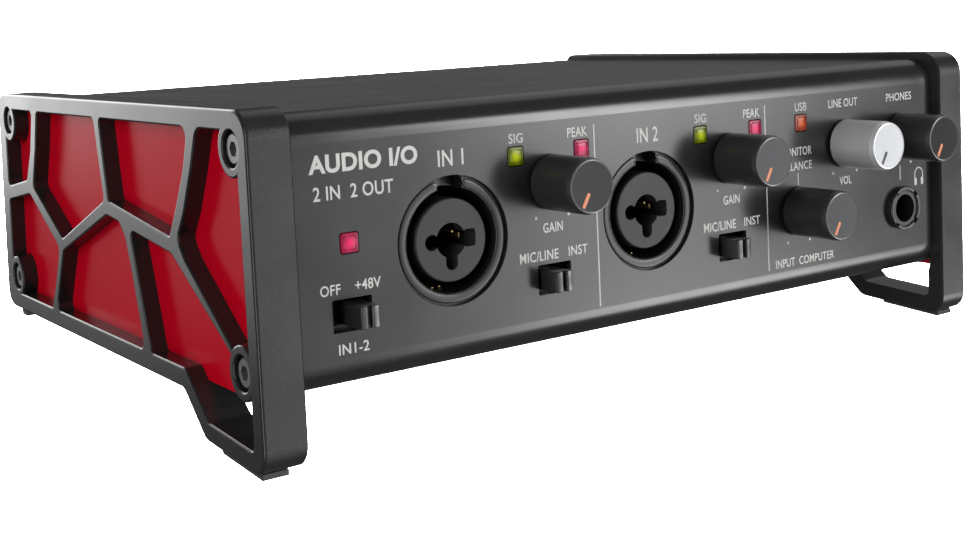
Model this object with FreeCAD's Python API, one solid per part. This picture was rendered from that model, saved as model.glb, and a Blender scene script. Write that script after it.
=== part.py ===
import FreeCAD, Part
import math
import os

V = FreeCAD.Vector
os.makedirs("parts", exist_ok=True)

# Desktop two-in / two-out USB audio interface.
# Everything is drawn in the enclosure's own frame and then set down on its feet:
#   x  to the right, seen from the front
#   y  back, square to the front panel (y = 0 is the face of the front panel)
#   z  up along the front panel (z = 0 is 0.8 mm above the underside)
# The side frames stand on rubber pads whose undersides lie in one plane, so the
# enclosure leans back by TILT. place() turns and lifts every piece into that pose.

# ---- driving dimensions, millimetres and degrees ----
WIDTH = 186.0            # over the two side frames
TILT = 3.8               # lean of the enclosure
FRAME_T = 8.4            # thickness of a side frame
FRAME_FRONT = -2.45      # front edge of the side frames
FRAME_TOP = 49.75
FRAME_BOTTOM = -3.3
FRAME_REAR_MID = 142.0   # rear edge at z = 15.6; the edge is upright on the table
WEB_DEPTH = 3.5          # outer face of the web to the red side plate
SHEET = 1.2              # steel sheet
BODY_BOTTOM = -0.8
BODY_TOP = 48.35
BODY_REAR = 136.3
BEND_R = 5.5             # outer radius of the two front bends
PANEL_REAR = 135.1       # outer face of the rear panel
BOARD_Z = 6.0            # underside of the main board
BOARD_T = 1.6
FRONT_BOARD_Y = 11.0
PAD_FRONT_Y = (0.9, 17.4)
PAD_REAR_Y = (132.1, 135.8)
PAD_X = (87.0, 91.9)
PAD_Z0 = -13.85          # underside of the front pads at their front edge
KNOB_LEN = 12.55         # knob face in front of the panel
KNOB_R = 5.35
KNOB_GAP = 0.6
SHAFT_R = 3.0
TURN = 300.0             # degrees between the end stops of a control
COMBO_X = (-51.55, -4.1)
COMBO_Z = 22.55
COMBO_R = 12.15          # opening in the panel
KNOBS = {
    "gain_1": (-28.75, 31.05),
    "gain_2": (18.75, 31.05),
    "line_out": (54.15, 31.05),
    "phones": (73.0, 31.05),
    "balance": (38.8, 17.5),
}
SLOT_W, SLOT_H = 8.0, 5.9
SLIDER = 4.0
SLIDER_OUT = 4.6
SLIDE = 2.0              # travel of a slide switch
SWITCHES = {             # centre of the slot and the side it rests on
    "phantom": (-73.4, 12.35, 1.0),
    "input_1": (-28.75, 12.35, -1.0),
    "input_2": (18.75, 12.35, -1.0),
}
LED = 3.6
LEDS = {
    "phantom": (-73.35, 25.0),
    "signal_1": (-36.9, 36.7),
    "peak_1": (-21.05, 36.7),
    "signal_2": (10.4, 36.7),
    "peak_2": (26.25, 36.7),
    "usb": (40.3, 36.75),
}
PHONES = (73.3, 14.2)
JACK_R = 3.25            # bore for a 6.35 mm plug
LINE_OUT_X = (48.0, 68.0)
LINE_OUT_Z = 14.2
MIDI_X = (-8.0, 20.0)
MIDI_Z = 17.6
USB_C = (-38.0, 9.25)
DC_IN = (-62.0, 13.1)
SIDE_SCREWS = ((3.9, 43.0), (4.8, 4.4), (132.3, 43.3), (134.2, 4.8))
BOSS_R = 5.0
XI = WIDTH / 2 - FRAME_T      # inner face of the side frames
XO = WIDTH / 2
tan_t = math.tan(math.radians(TILT))


# ---- helpers ----
def box(x0, x1, y0, y1, z0, z1):
    return Part.makeBox(x1 - x0, y1 - y0, z1 - z0, V(x0, y0, z0))


def cyl_y(x, z, r, y0, y1):
    return Part.makeCylinder(r, y1 - y0, V(x, y0, z), V(0, 1, 0))


def cyl_x(y, z, r, x0, x1):
    return Part.makeCylinder(r, x1 - x0, V(x0, y, z), V(1, 0, 0))


def cyl_z(x, y, r, z0, z1):
    return Part.makeCylinder(r, z1 - z0, V(x, y, z0), V(0, 0, 1))


def rounded(points, to3d):
    """Closed wire through (a, b, radius) corners, each rounded to its radius."""
    n = len(points)
    ends = []
    for i in range(n):
        pa, pb, pc = points[i - 1], points[i], points[(i + 1) % n]
        ua = (pa[0] - pb[0], pa[1] - pb[1])
        uc = (pc[0] - pb[0], pc[1] - pb[1])
        la, lc = math.hypot(*ua), math.hypot(*uc)
        ua, uc = (ua[0] / la, ua[1] / la), (uc[0] / lc, uc[1] / lc)
        r = pb[2]
        cosv = max(-1.0, min(1.0, ua[0] * uc[0] + ua[1] * uc[1]))
        half = math.acos(cosv) / 2
        if r <= 0 or abs(half - math.pi / 2) < 1e-4:
            ends.append(((pb[0], pb[1]), None, (pb[0], pb[1])))
            continue
        t = min(r / math.tan(half), 0.48 * la, 0.48 * lc)
        r = t * math.tan(half)
        a = (pb[0] + ua[0] * t, pb[1] + ua[1] * t)
        c = (pb[0] + uc[0] * t, pb[1] + uc[1] * t)
        bis = (ua[0] + uc[0], ua[1] + uc[1])
        bl = math.hypot(*bis)
        d = r / math.sin(half) - r
        m = (pb[0] + bis[0] / bl * d, pb[1] + bis[1] / bl * d)
        ends.append((a, m, c))
    edges = []
    for i in range(n):
        a, m, c = ends[i]
        if m is not None:
            edges.append(Part.Arc(to3d(*a), to3d(*m), to3d(*c)).toShape())
        nxt = ends[(i + 1) % n][0]
        if math.hypot(nxt[0] - c[0], nxt[1] - c[1]) > 1e-6:
            edges.append(Part.LineSegment(to3d(*c), to3d(*nxt)).toShape())
    return Part.Wire(edges)


def prism_x(points, x0, x1):
    w = rounded(points, lambda a, b: V(x0, a, b))
    return Part.Face(w).extrude(V(x1 - x0, 0, 0))


def prism_y(points, y0, y1):
    w = rounded(points, lambda a, b: V(a, y0, b))
    return Part.Face(w).extrude(V(0, y1 - y0, 0))


def rect_y(x, z, w, h, r, y0, y1):
    p = [(x - w / 2, z - h / 2, r), (x + w / 2, z - h / 2, r),
         (x + w / 2, z + h / 2, r), (x - w / 2, z + h / 2, r)]
    return prism_y(p, y0, y1)


def revolve_y(x, z, profile):
    """Solid of revolution about the y line through (x, z); profile is (radius, y)."""
    pts = [V(x + r, y, z) for r, y in profile]
    w = Part.makePolygon(pts + [pts[0]])
    return Part.Face(w).revolve(V(x, 0, z), V(0, 1, 0), 360)


def hexagon_x(y, z, af, x0, x1):
    r = af / math.sqrt(3)
    p = [(y + r * math.cos(math.radians(60 * k)), z + r * math.sin(math.radians(60 * k)), 0)
         for k in range(6)]
    return prism_x(p, x0, x1)


def hexagon_y(x, z, af, y0, y1):
    r = af / math.sqrt(3)
    p = [(x + r * math.cos(math.radians(60 * k + 30)), z + r * math.sin(math.radians(60 * k + 30)), 0)
         for k in range(6)]
    return prism_y(p, y0, y1)


def mirror(s):
    return s.mirror(V(0, 0, 0), V(1, 0, 0))


def fuse(first, *rest):
    s = first
    for r in rest:
        s = s.fuse(r)
    return s.removeSplitter()


def edges_where(shape, test):
    return [e for e in shape.Edges if all(test(v.Point) for v in e.Vertexes)
            and test(e.valueAt((e.FirstParameter + e.LastParameter) / 2))]


nodes = {}


def ground(y):
    """Height of the table under the leaning enclosure, at depth y."""
    return PAD_Z0 + (y - PAD_FRONT_Y[0]) * tan_t


def rear_edge(z, inset=0.0):
    return FRAME_REAR_MID - inset - (z - 15.6) * tan_t


# ---- side frames: die castings, webs over a pocket, foot at the front ----
foot = 1.2               # pad thickness shown under the casting
outline = [
    (FRAME_FRONT, FRAME_TOP, 5.0),
    (rear_edge(FRAME_TOP), FRAME_TOP, 4.0),
    (rear_edge(FRAME_BOTTOM), FRAME_BOTTOM, 4.5),
    (31.4, FRAME_BOTTOM, 3.0),
    (22.4, ground(22.4) + foot, 3.5),
    (FRAME_FRONT, ground(FRAME_FRONT) + foot, 4.5),
]
zt, zb = 46.0, 0.8       # inner edges of the top and bottom rails
rr = 5.6                 # width of the rear rail
cells = {
    "a": [(rear_edge(zt, rr), zt, 1.2), (113.2, zt, 1.0), (116.0, 37.0, 6.0), (120.3, 29.7, 2.0),
          (rear_edge(27.2, rr), 27.2, 1.5)],
    "b": [(109.5, zt, 1.5), (112.2, 37.2, 6.0), (115.9, 28.4, 1.5), (96.9, 18.1, 1.5),
          (67.9, 29.1, 1.5), (70.0, 39.4, 8.0), (71.1, zt, 1.5)],
    "c": [(68.0, zt, 1.2), (22.0, zt, 2.0), (25.1, 38.1, 8.0), (29.6, 30.8, 8.0),
          (33.5, 25.1, 1.5), (65.3, 29.2, 1.2), (66.5, 36.0, 8.0)],
    "d": [(18.0, zt, 3.0), (1.65, zt, 1.0), (1.65, 3.5, 1.0), (26.5, 21.2, 4.0),
          (29.8, 24.9, 2.0), (26.0, 29.9, 8.0), (21.4, 38.4, 8.0)],
    "e": [(rear_edge(23.7, rr), 23.7, 1.2), (118.8, 26.4, 2.5), (99.6, 15.7, 2.0), (103.6, 7.6, 8.0),
          (107.6, zb, 1.2), (rear_edge(zb, rr), zb, 1.0)],
    "f": [(96.8, 15.3, 2.0), (67.0, 26.1, 3.0), (59.8, 25.3, 2.5), (57.0, 22.6, 4.0),
          (55.0, 17.2, 8.0), (50.0, zb, 1.8), (104.4, zb, 1.5), (100.6, 8.2, 8.0)],
    "g": [(54.2, 24.3, 1.5), (33.1, 21.9, 3.0), (12.1, 9.1, 1.0), (1.65, 2.6, 1.0),
          (1.65, ground(1.65) + 5.1, 1.3), (20.6, ground(20.6) + 5.0, 2.0), (30.0, zb, 2.5), (46.6, zb, 1.5)],
}
pocket = [
    (rear_edge(zt + 0.3, rr - 0.4), zt + 0.3, 1.5), (1.25, zt + 0.3, 1.5), (1.25, -1.9, 0.5),
    (27.4, -1.9, 0.5), (30.2, zb - 0.4, 0.8), (rear_edge(zb - 0.4, rr - 0.4), zb - 0.4, 1.5),
]
frame = prism_x(outline, -XO, -XI)
outer_edges = edges_where(frame, lambda p: abs(p.x + XO) < 1e-4)
try:
    softened = frame.makeFillet(0.6, outer_edges)
    frame = softened if softened.isValid() else frame.makeChamfer(0.5, outer_edges)
    print("outer edges rounded", softened.isValid())
except Exception as why:
    frame = frame.makeChamfer(0.5, outer_edges)
    print("outer edges chamfered:", why)
frame = frame.makeChamfer(0.35, edges_where(frame, lambda p: abs(p.x + XI) < 1e-4))
pocket_cut = prism_x(pocket, -XO + WEB_DEPTH, -XI + 1)
for y, z in SIDE_SCREWS:
    pocket_cut = pocket_cut.cut(cyl_x(y, z, BOSS_R, -XO, -XI + 2))
frame = frame.cut(pocket_cut)
for name, pts in cells.items():
    c = prism_x(pts, -XO - 1, -XI + 1)
    for y, z in SIDE_SCREWS:
        c = c.cut(cyl_x(y, z, BOSS_R, -XO - 2, -XI + 2))
    c = max(c.Solids, key=lambda s: s.Volume)
    frame = frame.cut(c)
for y, z in SIDE_SCREWS:
    frame = frame.cut(cyl_x(y, z, 3.2, -XO - 1, -XO + 3.1))
    frame = frame.cut(cyl_x(y, z, 1.6, -XO - 1, -XI + 1))
frame = max(frame.Solids, key=lambda s: s.Volume)
inner_edges = [e for e in edges_where(frame, lambda p: abs(p.x + XO) < 1e-4)
               if not any(abs(v.Point.x + XO) > 1e-4 for v in e.Vertexes)]
for kind, size in (("fillet", 0.4), ("fillet", 0.3), ("chamfer", 0.22)):
    try:
        eased = frame.makeFillet(size, inner_edges) if kind == "fillet" else frame.makeChamfer(size, inner_edges)
        if eased.isValid() and eased.Volume > 0.97 * frame.Volume:
            frame = max(eased.Solids, key=lambda s: s.Volume)
            print("web edges eased:", kind, size)
            break
    except Exception as why:
        print("web edges not eased:", kind, size, why)
nodes["side_frame_left"] = frame
nodes["side_frame_right"] = mirror(frame)

# red side plates behind the webs
g = 0.25
plate_pts = [
    (rear_edge(zt + 0.3, rr - 0.4 + g), zt + 0.3 - g, 1.3), (1.25 + g, zt + 0.3 - g, 1.3),
    (1.25 + g, -1.9 + g, 0.5), (27.4, -1.9 + g, 0.5), (30.4, zb - 0.4 + g, 0.8),
    (rear_edge(zb - 0.4, rr - 0.4 + g), zb - 0.4 + g, 1.3),
]
plate = prism_x(plate_pts, -XO + WEB_DEPTH, -XO + WEB_DEPTH + SHEET)
for y, z in SIDE_SCREWS:
    plate = plate.cut(cyl_x(y, z, BOSS_R + g, -XO, -XI))
plate = max(plate.Solids, key=lambda s: s.Volume)
nodes["side_plate_left"] = plate
nodes["side_plate_right"] = mirror(plate)

# rubber pads under the frames, cut to the table plane
front_pad = prism_x([
    (PAD_FRONT_Y[0], ground(PAD_FRONT_Y[0]), 0.4), (PAD_FRONT_Y[1], ground(PAD_FRONT_Y[1]), 0.4),
    (PAD_FRONT_Y[1], ground(PAD_FRONT_Y[1]) + foot, 0), (PAD_FRONT_Y[0], ground(PAD_FRONT_Y[0]) + foot, 0),
], -PAD_X[1], -PAD_X[0])
rear_pad = prism_x([
    (PAD_REAR_Y[0], ground(PAD_REAR_Y[0]), 0.4), (PAD_REAR_Y[1], ground(PAD_REAR_Y[1]), 0.4),
    (PAD_REAR_Y[1], FRAME_BOTTOM, 0), (PAD_REAR_Y[0], FRAME_BOTTOM, 0),
], -PAD_X[1], -PAD_X[0] - 1.0)
nodes["front_foot_pads"] = Part.makeCompound([front_pad, mirror(front_pad)])
nodes["rear_foot_pads"] = Part.makeCompound([rear_pad, mirror(rear_pad)])


# socket-head screws through the frame corners into the side walls
def side_screw(y, z):
    head = cyl_x(y, z, 2.75, -XO + 0.6, -XO + 3.1)
    head = head.makeChamfer(0.3, edges_where(head, lambda p: abs(p.x + XO - 0.6) < 1e-4))
    s = fuse(head, cyl_x(y, z, 1.45, -XO + 3.05, -XI + SHEET))
    return s.cut(hexagon_x(y, z, 2.5, -XO, -XO + 2.0))


screws = [side_screw(y, z) for y, z in SIDE_SCREWS]
nodes["side_screws_left"] = Part.makeCompound(screws)
nodes["side_screws_right"] = Part.makeCompound([mirror(s) for s in screws])

# ---- enclosure ----
# upper cover: one bent sheet makes the lip, front panel, top and rear flange
outer = [
    (17.5, BODY_BOTTOM, 0), (0.0, BODY_BOTTOM, BEND_R), (0.0, BODY_TOP, BEND_R),
    (BODY_REAR, BODY_TOP, 1.6), (BODY_REAR, 38.2, 0), (BODY_REAR - SHEET, 38.2, 0),
    (BODY_REAR - SHEET, BODY_TOP - SHEET, 0.6), (SHEET, BODY_TOP - SHEET, BEND_R - SHEET),
    (SHEET, BODY_BOTTOM + SHEET, BEND_R - SHEET), (17.5, BODY_BOTTOM + SHEET, 0),
]
cover = prism_x(outer, -XI, XI)
for x in COMBO_X:
    cover = cover.cut(cyl_y(x, COMBO_Z, COMBO_R, -1, 2))
for x, z in KNOBS.values():
    cover = cover.cut(cyl_y(x, z, 3.8, -1, 2))
for x, z, side in SWITCHES.values():
    cover = cover.cut(rect_y(x, z, SLOT_W, SLOT_H, 0.35, -1, 2))
for x, z in LEDS.values():
    cover = cover.cut(rect_y(x, z, LED + 0.3, LED + 0.3, 0.6, -1, 2))
cover = cover.cut(cyl_y(PHONES[0], PHONES[1], 4.6, -1, 2))
for x in (-70.0, 0.0, 70.0):
    cover = cover.cut(cyl_y(x, 42.4, 1.6, BODY_REAR - 3, BODY_REAR + 1))
for x in (-60.0, 0.0, 60.0):
    cover = cover.cut(cyl_z(x, 11.5, 1.6, -3, 2))
nodes["upper_cover"] = max(cover.Solids, key=lambda s: s.Volume)

# tray: floor, side walls and a raised front flange that the cover's lip screws to
wall_pts = [
    (BODY_REAR, BODY_TOP - SHEET - 0.05, 0), (1.4, BODY_TOP - SHEET - 0.05, 2.9),
    (1.4, 0.5, 2.9), (17.8, 0.5, 0), (17.8, BODY_BOTTOM, 0), (BODY_REAR, BODY_BOTTOM, 0),
]
# the wall stops under the cover's folded rear flange
wall = prism_x(wall_pts, -XI, -XI + SHEET)
floor = box(-XI, XI, 17.8, BODY_REAR, BODY_BOTTOM, BODY_BOTTOM + SHEET)
flange = box(-XI, XI, 6.5, 19.0, 0.5, 1.6)
step = box(-XI, XI, 17.8, 19.0, BODY_BOTTOM, 1.6)
tray = fuse(floor, step, flange, wall, mirror(wall))
for y, z in SIDE_SCREWS:
    tray = tray.cut(cyl_x(y, z, 1.45, -XI - 1, -XI + 3)).cut(cyl_x(y, z, 1.45, XI - 3, XI + 1))
for x in (-60.0, 0.0, 60.0):
    tray = tray.cut(cyl_z(x, 11.5, 1.25, -3, 3))
tray = tray.cut(nodes["upper_cover"])
nodes["chassis_tray"] = max(tray.Solids, key=lambda s: s.Volume)

# rear panel with its openings, and a foot flange on the tray floor
rear = box(-XI + SHEET, XI - SHEET, PANEL_REAR - SHEET, PANEL_REAR, BODY_BOTTOM + SHEET, BODY_TOP - SHEET - 0.05)
rear = fuse(rear, box(-XI + SHEET, XI - SHEET, PANEL_REAR - 9, PANEL_REAR, BODY_BOTTOM + SHEET, BODY_BOTTOM + 2 * SHEET))
for x in LINE_OUT_X:
    rear = rear.cut(cyl_y(x, LINE_OUT_Z, 4.6, PANEL_REAR - 2, PANEL_REAR + 1))
for x in MIDI_X:
    rear = rear.cut(cyl_y(x, MIDI_Z, 8.0, PANEL_REAR - 2, PANEL_REAR + 1))
rear = rear.cut(rect_y(USB_C[0], USB_C[1], 9.8, 4.1, 2.0, PANEL_REAR - 2, PANEL_REAR + 1))
rear = rear.cut(cyl_y(DC_IN[0], DC_IN[1], 4.3, PANEL_REAR - 2, PANEL_REAR + 1))
for x in (-70.0, 0.0, 70.0):
    rear = rear.cut(cyl_y(x, 42.4, 1.25, PANEL_REAR - 2, PANEL_REAR + 1))
nodes["rear_panel"] = max(rear.Solids, key=lambda s: s.Volume)


def pan_screw_y(x, z, y, length):
    head = cyl_y(x, z, 2.7, y, y + 1.6)
    head = head.makeFillet(0.7, edges_where(head, lambda p: abs(p.y - y - 1.6) < 1e-4))
    s = fuse(head, cyl_y(x, z, 1.25, y - length, y + 0.1))
    for a in (0, 90):
        slot = box(-1.6, 1.6, y + 0.7, y + 3, -0.28, 0.28)
        slot.rotate(V(0, 0, 0), V(0, 1, 0), a)
        slot.translate(V(x, 0, z))
        s = s.cut(slot)
    return s


nodes["rear_screws"] = Part.makeCompound([pan_screw_y(x, 42.4, BODY_REAR, 5.0) for x in (-70.0, 0.0, 70.0)])


def pan_screw_z(x, y, z, length):
    """Head under height z, shank upwards."""
    head = cyl_z(x, y, 2.5, z - 1.3, z)
    head = head.makeFillet(0.6, edges_where(head, lambda p: abs(p.z - z + 1.3) < 1e-4))
    s = fuse(head, cyl_z(x, y, 1.25, z - 0.1, z + length))
    for a in (0, 90):
        slot = box(-1.5, 1.5, -0.28, 0.28, z - 3, z - 0.7)
        slot.rotate(V(0, 0, 0), V(0, 0, 1), a)
        slot.translate(V(x, y, 0))
        s = s.cut(slot)
    return s


nodes["bottom_screws"] = Part.makeCompound([pan_screw_z(x, 11.5, BODY_BOTTOM, 4.5) for x in (-60.0, 0.0, 60.0)])

# ---- boards ----
board_top = BOARD_Z + BOARD_T
standoffs = ((-72.0, 26.0), (57.0, 26.0), (-75.0, 118.0), (34.2, 118.0))
board = box(-81.0, 81.0, 13.2, 131.5, BOARD_Z, board_top)
for x, y in standoffs:
    board = board.cut(cyl_z(x, y, 1.6, 0, 20))
nodes["main_board"] = board
nodes["board_standoffs"] = Part.makeCompound([
    cyl_z(x, y, 3.0, BODY_BOTTOM + SHEET, BOARD_Z).cut(cyl_z(x, y, 1.25, 1.5, BOARD_Z + 1)) for x, y in standoffs])
nodes["board_screws"] = Part.makeCompound([
    fuse(cyl_z(x, y, 2.6, board_top, board_top + 1.7), cyl_z(x, y, 1.25, BOARD_Z - 3.6, board_top + 0.1))
    .cut(box(x - 1.6, x + 1.6, y - 0.3, y + 0.3, board_top + 0.9, board_top + 3)) for x, y in standoffs])
fb = box(-81.0, 81.0, FRONT_BOARD_Y, FRONT_BOARD_Y + BOARD_T, 8.2, 44.5)
for x in COMBO_X:
    fb = fb.cut(box(x - 13.0, x + 13.0, 5, 20, 0, COMBO_Z + 13.0))
fb = fb.cut(box(PHONES[0] - 7.3, PHONES[0] + 7.3, 5, 20, 0, PHONES[1] + 7.2))
nodes["front_board"] = max(fb.Solids, key=lambda s: s.Volume)
nodes["board_link_header"] = fuse(
    box(12.5, 31.5, FRONT_BOARD_Y + BOARD_T, FRONT_BOARD_Y + BOARD_T + 2.5, board_top + 1.0, board_top + 6.0),
    box(12.5, 31.5, FRONT_BOARD_Y + BOARD_T, FRONT_BOARD_Y + BOARD_T + 5.5, board_top, board_top + 1.6))
chips = [(-40.0, 66.0, 14.0, 14.0, 1.4), (-8.0, 74.0, 10.0, 10.0, 1.2), (18.0, 60.0, 7.0, 7.0, 1.0),
         (-62.0, 96.0, 6.0, 5.0, 1.5), (52.0, 82.0, 9.0, 6.0, 1.6), (-38.0, 100.0, 8.0, 6.0, 1.6),
         (14.0, 92.0, 5.0, 6.2, 1.5), (-64.0, 52.0, 5.0, 6.2, 1.5), (-26.0, 46.0, 5.0, 6.2, 1.5)]
caps = [(40.0, 56.0, 3.15, 7.0), (48.5, 56.0, 3.15, 7.0), (57.0, 56.0, 3.15, 7.0), (65.5, 56.0, 3.15, 7.0),
        (-60.0, 108.0, 4.0, 9.0), (-50.0, 110.0, 3.15, 7.0), (-66.0, 72.0, 3.15, 7.0), (66.0, 78.0, 4.0, 9.0),
        (28.0, 78.0, 3.15, 7.0)]
parts_on_board = [box(x - w / 2, x + w / 2, y - d / 2, y + d / 2, board_top, board_top + h) for x, y, w, d, h in chips]
for x, y, r, h in caps:
    can = cyl_z(x, y, r, board_top, board_top + h)
    can = can.makeFillet(0.4, edges_where(can, lambda p: abs(p.z - board_top - h) < 1e-4))
    parts_on_board.append(can)
nodes["board_components"] = Part.makeCompound(parts_on_board)

# ---- rotary controls ----
for name, (x, z) in KNOBS.items():
    body = box(x - 4.9, x + 4.9, 5.4, FRONT_BOARD_Y, z - 5.6, z + 5.6)
    body = fuse(body, cyl_y(x, z, 3.6, 1.5, 5.5))
    body = body.cut(cyl_y(x, z, SHAFT_R + 0.05, 0, 9.0))
    nodes["pot_" + name + "_body"] = body
    shaft = cyl_y(x, z, SHAFT_R, -KNOB_LEN + 1.8, 8.6)
    shaft = shaft.cut(box(x - 4, x + 4, -20, -2.0, z + 1.9, z + 4))
    nodes["pot_" + name + "_shaft"] = shaft
    knob = revolve_y(x, z, [
        (0, -KNOB_GAP), (KNOB_R + 0.05, -KNOB_GAP), (KNOB_R + 0.05, -KNOB_GAP - 0.2), (KNOB_R, -11.3),
        (KNOB_R - 0.12, -11.75), (KNOB_R - 0.3, -12.2), (KNOB_R - 0.5, -KNOB_LEN), (0, -KNOB_LEN)])
    # pointer groove towards seven o'clock, where the control rests against its stop
    groove = box(-0.4, 0.4, -KNOB_LEN - 1, -KNOB_LEN + 0.3, -4.7, -1.2)
    groove.rotate(V(0, 0, 0), V(0, 1, 0), 30)
    groove.translate(V(x, 0, z))
    knob = knob.cut(groove).cut(shaft)
    # hollow skirt behind the hub
    knob = knob.cut(cyl_y(x, z, KNOB_R - 1.1, -9.0, 0).cut(cyl_y(x, z, SHAFT_R + 1.0, -9.5, 1)))
    nodes[name + "_knob"] = max(knob.Solids, key=lambda s: s.Volume)

# ---- slide switches ----
for name, (x, z, side) in SWITCHES.items():
    body = box(x - 6.4, x + 6.4, 3.4, FRONT_BOARD_Y, z - 4.0, z + 4.3)
    body = body.cut(box(x - 4.2, x + 4.2, 4.4, 8.4, z - 3.1, z + 3.1))
    body = body.cut(box(x - 3.5, x + 3.5, 2, 5, z - 2.35, z + 2.35))
    nodes[name + "_switch_body"] = body
    c = x + side * SLIDE / 2
    stem = box(c - SLIDER / 2, c + SLIDER / 2, -SLIDER_OUT, 4.8, z - SLIDER / 2, z + SLIDER / 2)
    stem = stem.cut(box(c - 0.45, c + 0.45, -SLIDER_OUT - 1, -SLIDER_OUT + 0.8, z - 3, z + 3))
    slider = fuse(stem, box(c - 2.8, c + 2.8, 4.75, 8.0, z - 2.75, z + 2.75))
    nodes[name + "_switch_slider"] = slider

# ---- indicator lights: square light pipe on an LED ----
for name, (x, z) in LEDS.items():
    led = fuse(rect_y(x, z, LED, LED, 0.45, -0.15, 8.0), box(x - 1.8, x + 1.8, 7.9, FRONT_BOARD_Y, z - 1.8, z + 1.8))
    nodes[name + "_light"] = led

# ---- combination XLR / 6.35 mm sockets ----
for i, x in enumerate(COMBO_X):
    n = "input_%d_socket" % (i + 1)
    z = COMBO_Z
    shell = rect_y(x, z, 24.6, 24.6, 2.0, 1.3, 34.0)
    shell = fuse(shell, cyl_y(x, z, COMBO_R - 0.35, 0.7, 1.4), box(x - 9.5, x + 9.5, 14.0, 32.0, board_top, z - 12.0))
    shell = shell.cut(cyl_y(x, z, 9.9, 0, 16.5)).cut(cyl_y(x, z, 7.9, 16, 31.0))
    shell = shell.cut(rect_y(x, z + 10.6, 5.4, 4.6, 0.8, 0, 4.0))
    nodes[n + "_shell"] = shell
    core = cyl_y(x, z, 7.8, 1.0, 16.6)
    core = core.makeFillet(0.35, edges_where(core, lambda p: abs(p.y - 1.0) < 1e-4))
    core = fuse(core, cyl_y(x, z, 7.9, 16.5, 30.8))
    core = core.cut(cyl_y(x, z, JACK_R, 0, 40))
    core = core.cut(cyl_y(x - 4.15, z, 1.5, 0, 15)).cut(rect_y(x + 4.15, z, 2.6, 3.3, 0.6, 0, 15))
    core = core.cut(cyl_y(x, z - 4.3, 1.3, 0, 15)).cut(box(x - 1.3, x + 1.3, 0, 15, z - 4.3, z))
    nodes[n + "_insert"] = core

# ---- phones socket ----
x, z = PHONES
jack = rect_y(x, z, 13.4, 13.2, 1.0, 1.3, 33.0)
jack = fuse(jack, cyl_y(x, z, 4.3, -1.0, 1.4)).cut(cyl_y(x, z, JACK_R, -3, 32.0))
nodes["phones_socket"] = jack
nut = revolve_y(x, z, [(4.3, 0.0), (5.15, 0.0), (5.15, -1.3), (4.95, -1.5), (4.3, -1.5)])
for a in (45, 135, 225, 315):
    s = box(-0.55, 0.55, -2, -0.9, 3.5, 4.75)
    s.rotate(V(0, 0, 0), V(0, 1, 0), a)
    s.translate(V(x, 0, z))
    nut = nut.cut(s)
nodes["phones_ring_nut"] = nut

# ---- rear connectors ----
pr = PANEL_REAR
for side, x in zip(("right", "left"), LINE_OUT_X):
    z = LINE_OUT_Z
    jack = rect_y(x, z, 13.4, 13.2, 1.0, pr - 33.0, pr - SHEET - 0.1)
    jack = fuse(jack, cyl_y(x, z, 4.3, pr - SHEET - 0.2, pr + 4.2)).cut(cyl_y(x, z, JACK_R, pr - 31.5, pr + 6))
    nodes["line_out_socket_" + side] = jack
nodes["line_out_nuts"] = Part.makeCompound([
    hexagon_y(x, LINE_OUT_Z, 11.5, pr, pr + 2.2).common(cyl_y(x, LINE_OUT_Z, 6.35, pr - 1, pr + 3))
    .cut(cyl_y(x, LINE_OUT_Z, 4.3, pr - 1, pr + 3)) for x in LINE_OUT_X])
for name, x in zip(("out", "in"), MIDI_X):
    z = MIDI_Z
    din = rect_y(x, z, 20.0, 20.0, 0.8, pr - 15.0, pr - SHEET - 0.1)
    din = fuse(din, cyl_y(x, z, 7.8, pr - SHEET - 0.2, pr + 0.9))
    din = din.cut(cyl_y(x, z, 7.2, pr - 8.0, pr + 2).cut(cyl_y(x, z, 6.3, pr - 9.0, pr + 2)))
    for a in (0, 45, 90, 135, 180):
        px = x + 3.75 * math.cos(math.radians(a))
        pz = z - 3.75 * math.sin(math.radians(a))
        din = din.cut(cyl_y(px, pz, 0.85, pr - 8.0, pr + 2))
    din = din.cut(box(x - 1.0, x + 1.0, pr - 3.0, pr + 2, z + 5.2, z + 6.6))
    nodes["midi_" + name + "_socket"] = din
x, z = USB_C
usb = rect_y(x, z, 9.0, 3.3, 1.64, pr - 8.0, pr + 0.8)
usb = usb.cut(rect_y(x, z, 8.4, 2.7, 1.34, pr - 6.6, pr + 2))
usb = fuse(usb, rect_y(x, z, 6.7, 0.7, 0.2, pr - 7.0, pr + 0.1))
nodes["usb_c_socket"] = usb
x, z = DC_IN
dc = fuse(box(x - 4.5, x + 4.5, pr - 14.2, pr - SHEET - 0.1, board_top, z + 5.5), cyl_y(x, z, 4.1, pr - SHEET - 0.2, pr + 0.5))
dc = dc.cut(cyl_y(x, z, 2.9, pr - 10.5, pr + 2))
pin = cyl_y(x, z, 1.0, pr - 11.0, pr - 0.8)
nodes["dc_inlet"] = fuse(dc, pin)


# ---- set the assembly down on its pads ----
def place(shape, dy=0.0, dz=0.0):
    s = shape.copy()
    s.rotate(V(0, 0, 0), V(1, 0, 0), -TILT)
    s.translate(V(0, dy, dz))
    return s


lo, hi = [1e9] * 3, [-1e9] * 3
for shape in nodes.values():
    for p in place(shape).tessellate(0.02)[0]:
        for k, v in enumerate((p.x, p.y, p.z)):
            lo[k], hi[k] = min(lo[k], v), max(hi[k], v)
DY = -(lo[1] + hi[1]) / 2
DZ = -lo[2]
print("offset dy %.4f dz %.4f size %.2f %.2f %.2f" % (DY, DZ, hi[0] - lo[0], hi[1] - lo[1], hi[2] - lo[2]))
for name, shape in nodes.items():
    s = place(shape, DY, DZ)
    if not s.isValid():
        print("invalid:", name)
    if len(s.Solids) == 1 and s.ShapeType != "Solid":
        s = s.Solids[0]
    s.exportStep("parts/%s.step" % name)
print(len(nodes), "nodes")
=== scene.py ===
import math

import bmesh
import bpy
from mathutils import Matrix, Vector


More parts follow.
